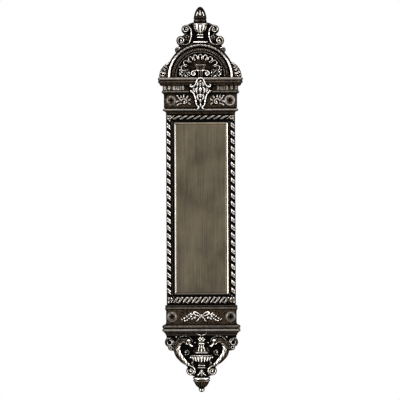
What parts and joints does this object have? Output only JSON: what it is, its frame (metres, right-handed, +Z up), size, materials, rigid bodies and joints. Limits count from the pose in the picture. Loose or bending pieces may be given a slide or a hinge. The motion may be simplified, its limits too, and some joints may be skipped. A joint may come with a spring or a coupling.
{
  "type": "door finger plate",
  "caption": "Tall cast door finger plate with a plain push panel in a rope border, an arched shell crest, a carved urn pendant and raised-head fixing screws.",
  "frame": {"origin": "middle of the push panel and of the screw pattern, on the back face that lies against the door", "axes": "+Z up the plate, +Y into the door, +X to the right as seen from the front"},
  "size_m": [0.0808, 0.0323, 0.368],
  "materials": {
    "cast_plate": "antique darkened plate, brushed panel, relieved highlights on the carving",
    "screw": "antique darkened plate"
  },
  "bodies": {
    "root": {"finger_plate": "cast_plate", "fixing_screws": "screw"}
  },
  "joints": []
}
